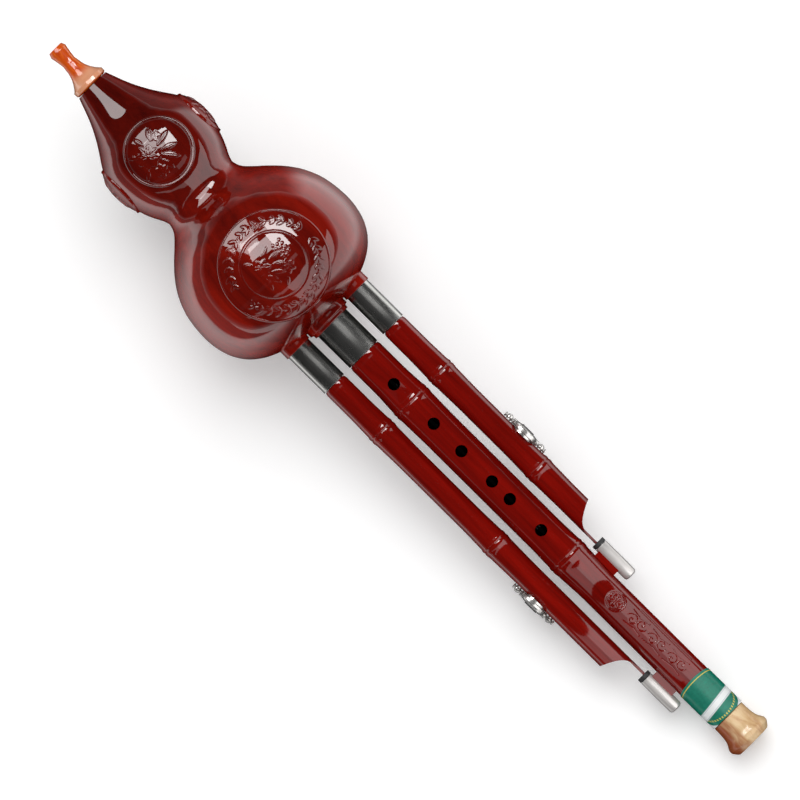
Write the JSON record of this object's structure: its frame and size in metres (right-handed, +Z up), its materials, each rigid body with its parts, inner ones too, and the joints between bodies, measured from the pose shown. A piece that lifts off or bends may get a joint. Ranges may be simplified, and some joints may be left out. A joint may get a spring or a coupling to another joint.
{
  "type": "hulusi",
  "caption": "Hulusi gourd flute lying on its back: carved gourd wind chest, melody pipe with finger holes, drone pipes with lidded keys and tail cups.",
  "frame": {"origin": "centre of the bounding box, on the floor that the instrument lies on", "axes": "+X from the mouthpiece to the bell, +Y to the side of the right drone, +Z up, the side of the finger holes"},
  "size_m": [0.439, 0.0902, 0.0928],
  "materials": {
    "gourd_lacquer": "deep red-brown carved wood under clear gloss lacquer",
    "pipe_lacquer": "dark red bamboo under clear gloss lacquer",
    "mouthpiece_horn": "amber, glossy",
    "bell_horn": "pale horn colour with brown streaks, glossy",
    "polished_metal": "polished, faintly banded",
    "key_metal": "polished",
    "reed_brass": "plain",
    "black_rubber": "matt",
    "seal_cork": "cork, matt",
    "holder_plastic": "ivory, matt",
    "pad_felt": "felt",
    "label_paper": "green paper with thin gold lines and a white band"
  },
  "bodies": {
    "gourd": {"gourd_front_shell": "gourd_lacquer", "gourd_back_shell": "gourd_lacquer", "neck_sleeve": "reed_brass", "socket_plate": "holder_plastic", "main_socket_ring": "black_rubber", "right_socket_ring": "black_rubber", "left_socket_ring": "black_rubber"},
    "mouthpiece": {"mouthpiece": "mouthpiece_horn", "mouthpiece_seal": "seal_cork"},
    "main_pipe": {"main_pipe": "pipe_lacquer", "main_ferrule": "polished_metal", "main_reed_bush": "holder_plastic", "main_reed_tube": "reed_brass", "main_reed_plate": "reed_brass", "bell": "bell_horn", "label_band": "label_paper", "right_tail_cup": "polished_metal", "right_cup_grommet": "black_rubber", "right_cup_bracket": "pipe_lacquer", "right_bracket_pin_1": "polished_metal", "right_bracket_pin_2": "polished_metal", "left_tail_cup": "polished_metal", "left_cup_grommet": "black_rubber", "left_cup_bracket": "pipe_lacquer", "left_bracket_pin_1": "polished_metal", "left_bracket_pin_2": "polished_metal"},
    "right_drone": {"right_drone_pipe": "pipe_lacquer", "right_drone_ferrule": "polished_metal", "right_drone_reed_bush": "holder_plastic", "right_drone_reed_tube": "reed_brass", "right_drone_reed_plate": "reed_brass", "right_key_post_upper": "key_metal", "right_key_post_lower": "key_metal", "right_key_rod": "key_metal", "right_tone_hole_seat": "key_metal"},
    "right_key": {"right_key_lid": "key_metal", "right_key_pad": "pad_felt", "right_key_inlay": "black_rubber"},
    "left_drone": {"left_drone_pipe": "pipe_lacquer", "left_drone_ferrule": "polished_metal", "left_drone_reed_bush": "holder_plastic", "left_drone_reed_tube": "reed_brass", "left_drone_reed_plate": "reed_brass", "left_key_post_upper": "key_metal", "left_key_post_lower": "key_metal", "left_key_rod": "key_metal", "left_tone_hole_seat": "key_metal"},
    "left_key": {"left_key_lid": "key_metal", "left_key_pad": "pad_felt", "left_key_inlay": "black_rubber"}
  },
  "joints": [
    {"name": "mouthpiece_pull", "type": "slide", "parent": "gourd", "child": "mouthpiece", "axis": [-0.993, 0, 0.1178], "range_m": [0, 0.01]},
    {"name": "main_pipe_tuning", "type": "slide", "parent": "gourd", "child": "main_pipe", "axis": [0.993, 0, -0.1178], "range_m": [0, 0.01]},
    {"name": "right_drone_tuning", "type": "slide", "parent": "gourd", "child": "right_drone", "axis": [0.993, 0, -0.1178], "range_m": [0, 0.004]},
    {"name": "left_drone_tuning", "type": "slide", "parent": "gourd", "child": "left_drone", "axis": [0.993, 0, -0.1178], "range_m": [0, 0.004]},
    {"name": "right_key_flip", "type": "hinge", "parent": "right_drone", "child": "right_key", "pos_m": [0.0488, 0.02605, 0.02326], "axis": [-0.993, 0, 0.1178], "range_deg": [0, 70]},
    {"name": "left_key_flip", "type": "hinge", "parent": "left_drone", "child": "left_key", "pos_m": [0.10522, -0.02605, 0.01656], "axis": [0.993, 0, -0.1178], "range_deg": [0, 70]}
  ]
}
